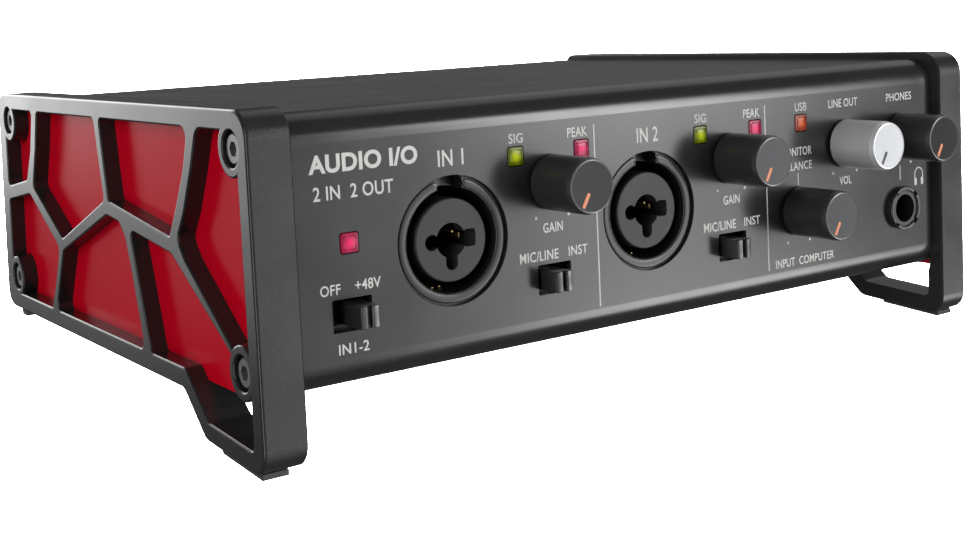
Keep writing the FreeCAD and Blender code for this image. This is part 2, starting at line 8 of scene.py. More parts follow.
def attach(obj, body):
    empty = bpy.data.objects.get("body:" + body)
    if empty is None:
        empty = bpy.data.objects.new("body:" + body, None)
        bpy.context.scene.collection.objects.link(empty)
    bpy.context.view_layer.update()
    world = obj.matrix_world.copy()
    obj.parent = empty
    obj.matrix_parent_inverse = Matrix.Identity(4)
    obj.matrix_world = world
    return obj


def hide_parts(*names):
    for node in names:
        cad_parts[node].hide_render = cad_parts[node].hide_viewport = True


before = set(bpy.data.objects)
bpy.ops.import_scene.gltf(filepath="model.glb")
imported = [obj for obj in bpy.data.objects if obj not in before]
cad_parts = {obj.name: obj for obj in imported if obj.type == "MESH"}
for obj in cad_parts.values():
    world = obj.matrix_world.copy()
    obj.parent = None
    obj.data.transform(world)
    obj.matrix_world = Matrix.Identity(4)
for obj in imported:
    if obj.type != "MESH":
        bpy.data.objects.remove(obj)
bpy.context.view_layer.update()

sc = bpy.context.scene

# ---------------------------------------------------------------- the case's own frame
# x right, y back from the front panel's face, z up along the panel, all in millimetres.
# The case leans back by TILT on its feet, as part.py sets it down.
TILT = math.radians(3.8)
SHIFT = (0.0, -0.0655189, 0.0138792)
BODY = Matrix.Translation(SHIFT) @ Matrix.Rotation(-TILT, 4, "X") @ Matrix.Scale(0.001, 4)
DIRS = Matrix.Rotation(-TILT, 3, "X")

KNOBS = {
    "gain_1": (-28.75, 31.05), "gain_2": (18.75, 31.05), "line_out": (54.15, 31.05),
    "phones": (73.0, 31.05), "balance": (38.8, 17.5),
}
SWITCHES = {"phantom": (-73.4, 12.35, 1.0), "input_1": (-28.75, 12.35, -1.0), "input_2": (18.75, 12.35, -1.0)}
LEDS = {
    "phantom": (-73.35, 25.0), "signal_1": (-36.9, 36.7), "peak_1": (-21.05, 36.7),
    "signal_2": (10.4, 36.7), "peak_2": (26.25, 36.7), "usb": (40.3, 36.75),
}
COMBO = {"input_1": (-51.55, 22.55), "input_2": (-4.1, 22.55)}
PHONES = (73.3, 14.2)
PANEL_REAR = 135.1


# ---------------------------------------------------------------- materials
def principled(name):
    m = bpy.data.materials.new(name)
    m.use_nodes = True
    nt = m.node_tree
    b = nt.nodes["Principled BSDF"]
    return m, nt, b


def node(nt, kind, **values):
    n = nt.nodes.new(kind)
    for k, v in values.items():
        setattr(n, k, v)
    return n


def noise(nt, coords, scale, detail=2.0, rough=0.5, distortion=0.0):
    n = node(nt, "ShaderNodeTexNoise")
    n.inputs["Scale"].default_value = scale
    n.inputs["Detail"].default_value = detail
    n.inputs["Roughness"].default_value = rough
    n.inputs["Distortion"].default_value = distortion
    nt.links.new(coords, n.inputs["Vector"])
    return n


def span(nt, value, lo, hi, a, b):
    n = node(nt, "ShaderNodeMapRange")
    n.inputs["From Min"].default_value = lo
    n.inputs["From Max"].default_value = hi
    n.inputs["To Min"].default_value = a
    n.inputs["To Max"].default_value = b
    nt.links.new(value, n.inputs["Value"])
    return n.outputs["Result"]


def blend_colour(nt, factor, a, b):
    n = node(nt, "ShaderNodeMix", data_type="RGBA")
    n.inputs[6].default_value = (*a, 1)
    n.inputs[7].default_value = (*b, 1)
    nt.links.new(factor, n.inputs[0])
    return n.outputs[2]


def surface(name, colour, rough, vary=0.12, metal=0.0, grain=3200.0, grain_mm=0.01, fine=9000.0, fine_mm=0.0,
            patch=60.0, rough_vary=0.06, spec=0.5, coat=0.0, coat_rough=0.1, streak=None, aniso=0.0,
            sheen=0.0, emit=None, emit_strength=0.0, ior=1.5):
    """Paint, moulded plastic or metal: colour drifts a little over the part, the gloss is uneven, and the
    grain is a height in millimetres."""
    m, nt, b = principled(name)
    co = node(nt, "ShaderNodeTexCoord").outputs["Object"]
    if streak:
        mp = node(nt, "ShaderNodeMapping")
        mp.inputs["Scale"].default_value = streak
        nt.links.new(co, mp.inputs["Vector"])
        gco = mp.outputs["Vector"]
    else:
        gco = co
    big = noise(nt, co, patch, 3.0)
    small = noise(nt, gco, grain, 2.0, 0.6)
    mix = node(nt, "ShaderNodeMath", operation="MULTIPLY_ADD")
    nt.links.new(small.outputs["Fac"], mix.inputs[0])
    mix.inputs[1].default_value = 0.65
    half = node(nt, "ShaderNodeMath", operation="MULTIPLY")
    nt.links.new(big.outputs["Fac"], half.inputs[0])
    half.inputs[1].default_value = 0.35
    nt.links.new(half.outputs[0], mix.inputs[2])
    dark = tuple(c * (1 - vary) for c in colour)
    lite = tuple(min(1.0, c * (1 + vary)) for c in colour)
    nt.links.new(blend_colour(nt, span(nt, mix.outputs[0], 0.3, 0.7, 0.0, 1.0), dark, lite), b.inputs["Base Color"])
    nt.links.new(span(nt, big.outputs["Fac"], 0.3, 0.7, rough - rough_vary, rough + rough_vary), b.inputs["Roughness"])
    b.inputs["Metallic"].default_value = metal
    b.inputs["Specular IOR Level"].default_value = spec
    b.inputs["IOR"].default_value = ior
    b.inputs["Coat Weight"].default_value = coat
    b.inputs["Coat Roughness"].default_value = coat_rough
    b.inputs["Anisotropic"].default_value = aniso
    b.inputs["Sheen Weight"].default_value = sheen
    last = None
    for h, tex in ((grain_mm, small), (fine_mm, None)):
        if h <= 0:
            continue
        if tex is None:
            tex = noise(nt, gco, fine, 1.0)
        bp = node(nt, "ShaderNodeBump")
        bp.inputs["Strength"].default_value = 1.0
        bp.inputs["Distance"].default_value = h / 1000
        nt.links.new(tex.outputs["Fac"], bp.inputs["Height"])
        if last:
            nt.links.new(last.outputs["Normal"], bp.inputs["Normal"])
        last = bp
    if last:
        nt.links.new(last.outputs["Normal"], b.inputs["Normal"])
    if emit:
        nt.links.new(blend_colour(nt, span(nt, small.outputs["Fac"], 0.35, 0.65, 0.0, 1.0),
                                  tuple(c * 0.8 for c in emit), emit), b.inputs["Emission Color"])
        b.inputs["Emission Strength"].default_value = emit_strength
    return m


PAINT = surface("case_paint", (0.0125, 0.013, 0.0138), 0.205, vary=0.12, grain=2600, grain_mm=0.004, fine=7000, fine_mm=0.002,
                rough_vary=0.03, spec=0.5)
FRAME = surface("casting_paint", (0.015, 0.015, 0.0152), 0.24, vary=0.12, grain=1700, grain_mm=0.009, fine=6000, fine_mm=0.003,
                rough_vary=0.04, spec=0.5)
RED = surface("red_gloss", (0.40, 0.0012, 0.011), 0.20, vary=0.05, grain=420, grain_mm=0.0004, rough_vary=0.02, spec=0.02)
RUBBER = surface("pad_rubber", (0.04, 0.04, 0.041), 0.75, vary=0.15, grain=2400, grain_mm=0.03, spec=0.3)
SCREW = surface("dark_screw", (0.17, 0.17, 0.175), 0.34, vary=0.15, metal=0.6, grain=3500, grain_mm=0.004)
STEEL = surface("plated_steel", (0.62, 0.61, 0.60), 0.26, vary=0.06, metal=1.0, grain=2500, grain_mm=0.003)
BRASS = surface("gold_contact", (0.83, 0.60, 0.25), 0.25, vary=0.08, metal=1.0, grain=2500, grain_mm=0.003)
PCB = surface("board_mask", (0.012, 0.085, 0.035), 0.35, vary=0.25, grain=900, grain_mm=0.01, patch=300)
CHIP = surface("chip_resin", (0.02, 0.02, 0.022), 0.5, grain=5000, grain_mm=0.008)
SHAFT = surface("shaft_nylon", (0.22, 0.22, 0.21), 0.5, grain=2500, grain_mm=0.006)
BLACK = surface("socket_black", (0.006, 0.006, 0.0062), 0.42, vary=0.1, grain=2600, grain_mm=0.006, rough_vary=0.05)
GREY = surface("socket_grey", (0.020, 0.0203, 0.0207), 0.42, vary=0.1, grain=3000, grain_mm=0.008, rough_vary=0.05, spec=0.25)
RING = surface("socket_ring", (0.010, 0.010, 0.0103), 0.24, vary=0.08, grain=2600, grain_mm=0.004, rough_vary=0.04, spec=0.4)
NUT = surface("jack_nut", (0.016, 0.016, 0.0175), 0.26, vary=0.1, grain=2600, grain_mm=0.004, rough_vary=0.05, spec=0.7)
SWITCH = surface("switch_plastic", (0.013, 0.013, 0.014), 0.3, vary=0.12, grain=2800, grain_mm=0.005, rough_vary=0.05, spec=0.7)
KNOB = surface("knob_side", (0.020, 0.0205, 0.0225), 0.36, vary=0.1, grain=2600, grain_mm=0.006, rough_vary=0.04, spec=0.6)
ORANGE = surface("pointer_orange", (0.46, 0.17, 0.085), 0.5, vary=0.1, grain=3000, grain_mm=0.006)
DARK_INK = surface("pointer_dark", (0.02, 0.02, 0.02), 0.45, vary=0.1, grain=3000, grain_mm=0.004)
INK = surface("print_ink", (0.36, 0.36, 0.345), 0.5, vary=0.05, grain=5000, grain_mm=0.003)
INK_LINE = surface("print_line", (0.34, 0.34, 0.335), 0.5, vary=0.05, grain=5000, grain_mm=0.003)


def turned(name, colour, rough, metal, axis_xz, pitch, depth_mm, spec=0.5):
    """A face or side finished on a lathe: fine rings about the control's own axis."""
    m, nt, b = principled(name)
    co = node(nt, "ShaderNodeTexCoord").outputs["Object"]
    centre = BODY @ Vector((axis_xz[0], -12.5, axis_xz[1]))
    sub = node(nt, "ShaderNodeVectorMath", operation="SUBTRACT")
    nt.links.new(co, sub.inputs[0])
    sub.inputs[1].default_value = centre
    # distance from the axis: remove the part along it
    axis = DIRS @ Vector((0, 1, 0))
    dot = node(nt, "ShaderNodeVectorMath", operation="DOT_PRODUCT")
    nt.links.new(sub.outputs[0], dot.inputs[0])
    dot.inputs[1].default_value = axis
    along = node(nt, "ShaderNodeVectorMath", operation="SCALE")
    along.inputs[0].default_value = axis
    nt.links.new(dot.outputs["Value"], along.inputs["Scale"])
    radial = node(nt, "ShaderNodeVectorMath", operation="SUBTRACT")
    nt.links.new(sub.outputs[0], radial.inputs[0])
    nt.links.new(along.outputs[0], radial.inputs[1])
    length = node(nt, "ShaderNodeVectorMath", operation="LENGTH")
    nt.links.new(radial.outputs[0], length.inputs[0])
    comb = node(nt, "ShaderNodeCombineXYZ")
    nt.links.new(length.outputs["Value"], comb.inputs[0])
    nt.links.new(dot.outputs["Value"], comb.inputs[1])
    rings = noise(nt, comb.outputs[0], pitch, 2.0, 0.6)
    dark = tuple(c * 0.88 for c in colour)
    lite = tuple(min(1.0, c * 1.1) for c in colour)
    nt.links.new(blend_colour(nt, span(nt, rings.outputs["Fac"], 0.3, 0.7, 0.0, 1.0), dark, lite), b.inputs["Base Color"])
    nt.links.new(span(nt, rings.outputs["Fac"], 0.3, 0.7, rough - 0.05, rough + 0.05), b.inputs["Roughness"])
    b.inputs["Metallic"].default_value = metal
    b.inputs["Specular IOR Level"].default_value = spec
    bp = node(nt, "ShaderNodeBump")
    bp.inputs["Distance"].default_value = depth_mm / 1000
    nt.links.new(rings.outputs["Fac"], bp.inputs["Height"])
    nt.links.new(bp.outputs["Normal"], b.inputs["Normal"])
    return m


def lens(name, core, edge, centre_xz, strength):
    """Tinted light window with painted light: a faint painted glow, brighter in the middle, and painted shade making it
    deeper towards its edges.
    """
    m, nt, b = principled(name)
    co = node(nt, "ShaderNodeTexCoord").outputs["Object"]
    centre = BODY @ Vector((centre_xz[0], -0.2, centre_xz[1]))
    sub = node(nt, "ShaderNodeVectorMath", operation="SUBTRACT")
    nt.links.new(co, sub.inputs[0])
    sub.inputs[1].default_value = centre
    length = node(nt, "ShaderNodeVectorMath", operation="LENGTH")
    nt.links.new(sub.outputs[0], length.inputs[0])
    streaks = noise(nt, co, 900.0, 1.0)
    add = node(nt, "ShaderNodeMath", operation="MULTIPLY_ADD")
    nt.links.new(streaks.outputs["Fac"], add.inputs[0])
    add.inputs[1].default_value = 0.0011
    nt.links.new(length.outputs["Value"], add.inputs[2])
    f = span(nt, add.outputs[0], 0.0006, 0.0023, 0.0, 1.0)
    nt.links.new(blend_colour(nt, f, core, edge), b.inputs["Base Color"])
    nt.links.new(blend_colour(nt, f, core, edge), b.inputs["Emission Color"])
    b.inputs["Emission Strength"].default_value = strength
    b.inputs["Roughness"].default_value = 0.22
    b.inputs["Specular IOR Level"].default_value = 0.25
    return m


# Each window: its tint as a bright core and a dark edge, which are painted glow and painted shade, then the strength of
# the painted glow.
LENS = {
    "phantom": lens("lens_red", (0.60, 0.016, 0.10), (0.17, 0.0, 0.024), LEDS["phantom"], 0.05),
    "signal_1": lens("lens_green_a", (0.33, 0.40, 0.008), (0.045, 0.055, 0.0), LEDS["signal_1"], 0.04),
    "signal_2": lens("lens_green_b", (0.33, 0.40, 0.008), (0.045, 0.055, 0.0), LEDS["signal_2"], 0.04),
    "peak_1": lens("lens_pink_a", (0.56, 0.016, 0.10), (0.15, 0.0, 0.024), LEDS["peak_1"], 0.04),
    "peak_2": lens("lens_pink_b", (0.56, 0.016, 0.10), (0.15, 0.0, 0.024), LEDS["peak_2"], 0.04),
    "usb": lens("lens_orange", (0.46, 0.085, 0.025), (0.14, 0.016, 0.005), LEDS["usb"], 0.04),
}

NODE_MATERIAL = {
    "upper_cover": PAINT, "chassis_tray": PAINT, "rear_panel": PAINT,
    "side_frame_left": FRAME, "side_frame_right": FRAME, "side_plate_left": RED, "side_plate_right": RED,
    "front_foot_pads": RUBBER, "rear_foot_pads": RUBBER,
    "side_screws_left": SCREW, "side_screws_right": SCREW, "rear_screws": SCREW, "bottom_screws": SCREW,
    "board_screws": STEEL, "board_standoffs": STEEL, "main_board": PCB, "front_board": PCB,
    "board_components": CHIP, "board_link_header": CHIP, "phones_socket": BLACK, "phones_ring_nut": NUT,
    "line_out_socket_left": BLACK, "line_out_socket_right": BLACK, "line_out_nuts": STEEL,
    "midi_in_socket": BLACK, "midi_out_socket": BLACK, "usb_c_socket": STEEL, "dc_inlet": BLACK,
}
for n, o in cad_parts.items():
    m = NODE_MATERIAL.get(n)
    if m is None:
        if n.endswith("_switch_body") or (n.startswith("pot_") and n.endswith("_body")):
            m = SWITCH
        elif n.endswith("_shaft"):
            m = SHAFT
        elif n.endswith("_socket_shell"):
            m = BLACK
        elif n.endswith("_socket_insert"):
            m = GREY
        elif n.endswith("_light"):
            m = LENS[n[:-6]]
        else:
            m = KNOB
    for s in o.material_slots:
        s.material = m
    if not o.material_slots:
        o.data.materials.append(m)


# ---------------------------------------------------------------- mesh helpers, all in case millimetres
def fillet(points, steps=5):
    """(a, b) or (a, b, r) corners -> the line with each marked corner rounded."""
    out = []
    n = len(points)
    for i, p in enumerate(points):
        r = p[2] if len(p) > 2 else 0
        if not r or i in (0, n - 1):
            out.append((p[0], p[1]))
            continue
        a, c = points[i - 1], points[i + 1]
        out += corner((a[0], a[1]), (p[0], p[1]), (c[0], c[1]), r, steps)
    return out


def corner(a, b, c, r, steps):
    ua = Vector((a[0] - b[0], a[1] - b[1]))
    uc = Vector((c[0] - b[0], c[1] - b[1]))
    la, lc = ua.length, uc.length
    ua.normalize(); uc.normalize()
    half = math.acos(max(-1.0, min(1.0, ua.dot(uc)))) / 2
    if abs(half - math.pi / 2) < 1e-4:
        return [b]
    t = min(r / math.tan(half), 0.49 * la, 0.49 * lc)
    r = t * math.tan(half)
    m = Vector(b) + (ua + uc).normalized() * (r / math.sin(half))
    p0, p1 = Vector(b) + ua * t - m, Vector(b) + uc * t - m
    a0, a1 = math.atan2(p0.y, p0.x), math.atan2(p1.y, p1.x)
    d = (a1 - a0 + math.pi) % (2 * math.pi) - math.pi
    return [(m.x + r * math.cos(a0 + d * k / steps), m.y + r * math.sin(a0 + d * k / steps)) for k in range(steps + 1)]


def loop(points, steps=5):
    """Closed outline of (a, b, r) corners, each rounded."""
    n = len(points)
    out = []
    for i, p in enumerate(points):
        r = p[2] if len(p) > 2 else 0
        if not r:
            out.append((p[0], p[1]))
        else:
            out += corner(points[i - 1][:2], p[:2], points[(i + 1) % n][:2], r, steps)
    return out


def lathe(bm, x, z, profile, segments=96, closed=True, material=0):
    """Turns a (radius, y) line about the y axis through (x, z). A radius of 0 makes one point."""
    rings = []
    for r, y in profile:
        if r < 1e-6:
            rings.append([bm.verts.new((x, y, z))])
        else:
            rings.append([bm.verts.new((x + r * math.sin(2 * math.pi * k / segments), y, z + r * math.cos(2 * math.pi * k / segments)))
                          for k in range(segments)])
    pairs = list(zip(rings, rings[1:]))
    if closed:
        pairs.append((rings[-1], rings[0]))
    faces = []
    for a, b in pairs:
        if len(a) == 1 and len(b) == 1:
            continue
        for k in range(segments):
            j = (k + 1) % segments
            if len(a) == 1:
                f = [a[0], b[k], b[j]]
            elif len(b) == 1:
                f = [a[k], b[0], a[j]]
            else:
                f = [a[k], b[k], b[j], a[j]]
            face = bm.faces.new(f)
            face.material_index = material
            faces.append(face)
    return faces


def prism(bm, outline, at, material=0):
    """Closed solid between two copies of an outline. at(p, 0) and at(p, 1) place a point of each."""
    a = [bm.verts.new(at(p, 0)) for p in outline]
    b = [bm.verts.new(at(p, 1)) for p in outline]
    faces = [bm.faces.new(a), bm.faces.new(list(reversed(b)))]
    n = len(outline)
    for i in range(n):
        j = (i + 1) % n
        faces.append(bm.faces.new([a[j], a[i], b[i], b[j]]))
    for f in faces:
        f.material_index = material
    return faces


def slab(bm, x0, x1, y0, y1, z0, z1, material=0):
    return prism(bm, [(x0, z0), (x1, z0), (x1, z1), (x0, z1)], lambda p, e: (p[0], y1 if e else y0, p[1]), material)


def domed(bm, outline, levels, material=0):
    """Stacks of scaled outlines closed at both ends. levels are (scale, y) about the outline's centre."""
    cx = sum(p[0] for p in outline) / len(outline)
    cz = sum(p[1] for p in outline) / len(outline)
    rings = [[bm.verts.new((cx + (p[0] - cx) * s, y, cz + (p[1] - cz) * s)) for p in outline] for s, y in levels]
    faces = [bm.faces.new(rings[0]), bm.faces.new(list(reversed(rings[-1])))]
    n = len(outline)
    for a, b in zip(rings, rings[1:]):
        for i in range(n):
            j = (i + 1) % n
            faces.append(bm.faces.new([a[j], a[i], b[i], b[j]]))
    for f in faces:
        f.material_index = material
    return faces


def make(name, bm, materials, body="chassis", stands_for=(), sharp=32, bevel=None, segments=3):
    bmesh.ops.recalc_face_normals(bm, faces=bm.faces)
    if bevel:
        edges = [e for e in bm.edges if len(e.link_faces) == 2 and e.calc_face_angle(0) > math.radians(40)]
        bmesh.ops.bevel(bm, geom=edges, offset=bevel, segments=segments, profile=0.5, affect="EDGES", clamp_overlap=True)
    bm.transform(BODY)
    me = bpy.data.meshes.new(name)
    bm.to_mesh(me)
    bm.free()
    for m in materials:
        me.materials.append(m)
    me.shade_smooth()
    me.set_sharp_from_angle(angle=math.radians(sharp))
    o = bpy.data.objects.new(name, me)
    sc.collection.objects.link(o)
    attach(o, body)
    if stands_for:
        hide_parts(*stands_for)
    return o


# ---------------------------------------------------------------- knobs
# Face tones: line_out's near-white face is its own colour. The other four knobs share one dark face finish, and their
# different tones are painted light and shade, each face set lighter or darker to match how light falls on it.
FACE_TONE_AND_PAINTED_LIGHT = {"gain_1": 0.022, "gain_2": 0.048, "balance": 0.046, "phones": 0.014, "line_out": 0.36}
FACE = {k: turned("knob_face_" + k, (FACE_TONE_AND_PAINTED_LIGHT[k] * 0.98, FACE_TONE_AND_PAINTED_LIGHT[k], FACE_TONE_AND_PAINTED_LIGHT[k] * 1.03), 0.40,
                  0.6, KNOBS[k], 9000, 0.002, spec=0.2) for k in KNOBS}
# The rims are painted highlights: a rim colour lighter than the knob's side stands in for the light caught on the
# rounded front edge.
RIM_PAINTED_HIGHLIGHT = surface("knob_rim_painted_highlight", (0.055, 0.055, 0.058), 0.24, vary=0.06, grain=3000, grain_mm=0.003, spec=0.7)
SPUN = turned("knob_spun_side", (0.56, 0.56, 0.57), 0.38, 0.5, KNOBS["line_out"], 5200, 0.0016)
SPUN_RIM_PAINTED_HIGHLIGHT = turned("knob_spun_rim_painted_highlight", (0.66, 0.66, 0.66), 0.3, 0.6, KNOBS["line_out"], 5200, 0.001)

for name, (x, z) in KNOBS.items():
    bright = name == "line_out"
    bm = bmesh.new()
    side = fillet([(4.25, -9.0), (4.25, -0.6, 0.0), (5.40, -0.6, 0.22), (5.36, -11.45, 0.35), (5.10, -12.25)])
    rim = fillet([(5.10, -12.25), (5.02, -12.50, 0.10), (4.78, -12.55, 0.06), (4.70, -12.47)])
    face = fillet([(4.70, -12.47), (3.0, -12.44), (1.2, -12.43), (0, -12.43)])
    lathe(bm, x, z, [(0, -9.0)] + side, closed=False, material=0)
    lathe(bm, x, z, rim, closed=False, material=1)
    lathe(bm, x, z, face, closed=False, material=2)
    bmesh.ops.remove_doubles(bm, verts=bm.verts, dist=1e-4)
    mats = [SPUN, SPUN_RIM_PAINTED_HIGHLIGHT, FACE[name]] if bright else [KNOB, RIM_PAINTED_HIGHLIGHT, FACE[name]]
    knob = make(name + "_knob_detail", bm, mats, name + "_control", (name + "_knob",))
    # inlaid pointer, from near the centre almost to the rim, at seven o'clock
    bm = bmesh.new()
    a = math.radians(30)
    d, s = (-math.sin(a), -math.cos(a)), (math.cos(a), -math.sin(a))
    r0, r1, w = 1.35, 4.5, 0.38
    pts = []
    for cr, sign in ((r1, 1), (r0, -1)):
        for k in range(9):
            t = math.pi * (k / 8 - 0.5)
            u = cr - sign * w * (1 - math.cos(t)) if False else cr + sign * w * (math.cos(t) - 1)
            v = sign * w * math.sin(t)
            pts.append((x + d[0] * u + s[0] * v, z + d[1] * u + s[1] * v))
    domed(bm, pts, [(1.0, -12.3), (1.0, -12.46), (0.93, -12.485)])
    make(name + "_pointer", bm, [DARK_INK if bright else ORANGE], name + "_control", sharp=50)

# ---------------------------------------------------------------- slide switch actuators
for name, (x, z, side) in SWITCHES.items():
    c = x + side
    bm = bmesh.new()
    outline = [(c - 2.0, 4.9), (c - 2.0, -3.9), (c - 1.75, -4.55), (c - 0.62, -4.6), (c - 0.45, -4.4), (c - 0.42, -3.5),
               (c + 0.42, -3.5), (c + 0.45, -4.4), (c + 0.62, -4.6), (c + 1.75, -4.55), (c + 2.0, -3.9), (c + 2.0, 4.9)]
    prism(bm, outline, lambda p, e: (p[0], p[1], z + (2.0 if e else -2.0)))
    make(name + "_slider_cap", bm, [SWITCH], name + "_actuator", (name + "_switch_slider",), bevel=0.14)
    bm = bmesh.new()
    slab(bm, c - 2.8, c + 2.8, 4.75, 8.0, z - 2.75, z + 2.75)
    make(name + "_slider_flange", bm, [SWITCH], name + "_actuator", bevel=0.2)

# ---------------------------------------------------------------- indicator windows
for name, (x, z) in LEDS.items():
    bm = bmesh.new()
    h = 1.8
    sq = loop([(x - h, z - h, 0.5), (x + h, z - h, 0.5), (x + h, z + h, 0.5), (x - h, z + h, 0.5)], 5)
    domed(bm, sq, [(1.0, 8.0), (1.0, 0.15), (0.985, -0.02), (0.94, -0.13), (0.76, -0.16), (0.70, -0.05), (0.64, -0.06),
                   (0.58, -0.2), (0.4, -0.24)])
    slab(bm, x - 1.8, x + 1.8, 7.9, 11.0, z - 1.8, z + 1.8)
    make(name + "_window", bm, [LENS[name]], "chassis", (name + "_light",))

# ---------------------------------------------------------------- combination sockets
for name, (x, z) in COMBO.items():
    # C-shaped rim, open at the top for the latch
    bm = bmesh.new()
    r_in, r_out = 9.93, 11.76
    half_gap = math.asin(2.75 / 10.85)
    sec = loop([(r_in, 1.6, 0.0), (r_in, 0.55, 0.32), (r_out, 0.50, 0.45), (r_out, 1.6, 0.0)], 5)
    n = 150
    rings = []
    for k in range(n + 1):
        a = half_gap + (2 * math.pi - 2 * half_gap) * k / n
        # the two ends shrink into a rounded nose
        e = min(k, n - k) * (2 * math.pi - 2 * half_gap) / n * 10.85
        sfac = 1.0 if e >= 0.9 else math.sqrt(max(0.0, 1 - (1 - e / 0.9) ** 2)) * 0.75 + 0.25
        mid = (r_in + r_out) / 2
        rings.append([bm.verts.new((x + (mid + (r - mid) * sfac) * math.sin(a), y, z + (mid + (r - mid) * sfac) * math.cos(a)))
                      for r, y in sec])
    for a, b in zip(rings, rings[1:]):
        for i in range(len(sec)):
            j = (i + 1) % len(sec)
            bm.faces.new([a[i], a[j], b[j], b[i]])
    bm.faces.new(rings[0]); bm.faces.new(list(reversed(rings[-1])))
    make(name + "_socket_rim", bm, [RING], "chassis")
    # spring leaves: one beside the bore, one at the foot of the plug's slot
    bm = bmesh.new()
    slab(bm, x + 2.5, x + 2.85, 4.6, 13.5, z + 0.7, z + 1.2)
    slab(bm, x + 4.2, x + 4.7, 5.0, 13.5, z - 0.6, z + 0.6)
    slab(bm, x - 1.1, x - 0.6, 7.0, 13.0, z - 9.75, z - 9.45)
    slab(bm, x + 0.5, x + 1.0, 7.0, 13.0, z - 9.75, z - 9.45)
    make(name + "_contacts", bm, [BRASS], "chassis", bevel=0.08, segments=2)

# ---------------------------------------------------------------- phones socket: slotted ring nut over a recessed bushing
x, z = PHONES
bm = bmesh.new()
N = 240
outer = fillet([(4.15, 0.0), (5.15, 0.0), (5.15, -1.25, 0.22), (4.95, -1.5, 0.12), (4.35, -1.5, 0.15), (4.12, -1.2), (4.12, 0.0)])
rings = []
for k in range(N):
    a = 2 * math.pi * k / N
    inside = any(abs((a - math.radians(c) + math.pi) % (2 * math.pi) - math.pi) < math.radians(9) for c in (45, 135, 225, 315))
    rings.append([bm.verts.new((x + r * math.sin(a), max(y, -0.75) if (inside and r < 4.93) else y, z + r * math.cos(a))) for r, y in outer[:-1]])
for k in range(N):
    a, b = rings[k], rings[(k + 1) % N]
    for i in range(len(a)):
        j = (i + 1) % len(a)
        bm.faces.new([a[i], a[j], b[j], b[i]])
make("phones_slotted_nut", bm, [NUT], "chassis", ("phones_ring_nut",))
bm = bmesh.new()
lathe(bm, x, z, fillet([(3.27, 0.4), (3.27, -0.55, 0.0), (3.32, -0.72, 0.1), (3.62, -0.78, 0.12), (4.05, -0.45, 0.1), (4.10, 0.4)]))
make("phones_bushing_lip", bm, [RING], "chassis")

# ---------------------------------------------------------------- printed legends
cut = []


def legend(text, cx, cz, height, width=None, weight=0.012, y=-0.012, material=0, back=False):
    cu = bpy.data.curves.new("t", "FONT")
    cu.body = text
    cu.size = 1.0
    cu.extrude = 0.012
    cu.offset = weight
    cu.space_character = 1.05
    cu.resolution_u = 5
    o = bpy.data.objects.new("t", cu)
    sc.collection.objects.link(o)
    dg = bpy.context.evaluated_depsgraph_get()
    me = bpy.data.meshes.new_from_object(o.evaluated_get(dg))
    xs = [v.co.x for v in me.vertices]
    ys = [v.co.y for v in me.vertices]
    sy = height / (max(ys) - min(ys))
    sx = width / (max(xs) - min(xs)) if width else sy * 0.8
    mx, my = (max(xs) + min(xs)) / 2, (max(ys) + min(ys)) / 2
    flip = -1 if back else 1
    for v in me.vertices:
        px, py, pz = v.co
        v.co = (cx + flip * (px - mx) * sx, y - flip * pz * 0.9, cz + (py - my) * sy)
    cut.append((me, material))
    bpy.data.objects.remove(o)
    bpy.data.curves.remove(cu)


def collect(name, materials, body="chassis"):
    bm = bmesh.new()
    for me, idx in cut:
        part = bmesh.new()
        part.from_mesh(me)
        for f in part.faces:
            f.material_index = idx
        tmp = bpy.data.meshes.new("tmp")
        part.to_mesh(tmp)
        part.free()
        bm.from_mesh(tmp)
        bpy.data.meshes.remove(tmp)
        bpy.data.meshes.remove(me)
    cut.clear()
    return bm


def rule(bm, x0, x1, z0, z1, material=1):
    slab(bm, x0, x1, -0.022, -0.002, z0, z1, material)


def dot(bm, x, z, r=0.3):
    lathe(bm, x, z, [(0, -0.022), (r, -0.022), (r, -0.002), (0, -0.002)], segments=20, closed=False)


legend("AUDIO I/O", -69.55, 39.2, 3.3, 22.0, weight=0.035)
legend("2 IN  2 OUT", -71.9, 34.1, 2.5, 16.0)
legend("IN 1", -51.45, 37.9, 3.0, 5.6)
legend("IN 2", -4.05, 38.0, 3.0, 5.6)
for dx in (0.0, 47.2):
    legend("SIG", -36.7 + dx, 40.1, 1.85, 3.3)
    legend("PEAK", -21.95 + dx, 40.1, 1.85, 4.9)
    legend("GAIN", -28.75 + dx * 47.5 / 47.2, 22.3, 1.9, 4.7)
    legend("MIC/LINE", -32.3 + dx * 1.006, 17.05, 1.95, 9.2)
    legend("INST", -22.85 + dx * 1.006, 17.1, 1.9, 4.7)
legend("OFF", -77.6, 17.15, 1.9, 4.0)
legend("+48V", -70.05, 17.35, 1.9, 5.2)
legend("IN1-2", -73.5, 6.45, 1.9, 6.1)
legend("USB", 40.4, 40.3, 1.85, 3.7)
legend("LINE OUT", 54.0, 40.2, 1.85, 9.5)
legend("PHONES", 73.05, 40.25, 1.85, 8.8)
legend("MONITOR", 38.8, 30.6, 1.85, 9.4)
legend("BALANCE", 38.8, 27.4, 1.85, 9.3)
legend("VOL", 54.3, 22.7, 1.85, 3.9)
legend("INPUT", 34.4, 6.5, 1.85, 5.9)
legend("COMPUTER", 44.3, 6.5, 1.85, 11.2)
bm = collect("legends", [INK])
for px, pz in ((-32.7, 24.4), (-24.8, 24.4), (14.8, 24.5), (22.7, 24.4), (50.3, 24.6), (58.1, 24.6), (69.1, 24.7), (76.9, 24.7),
               (35.4, 10.8), (42.2, 10.8)):
    dot(bm, px, pz)
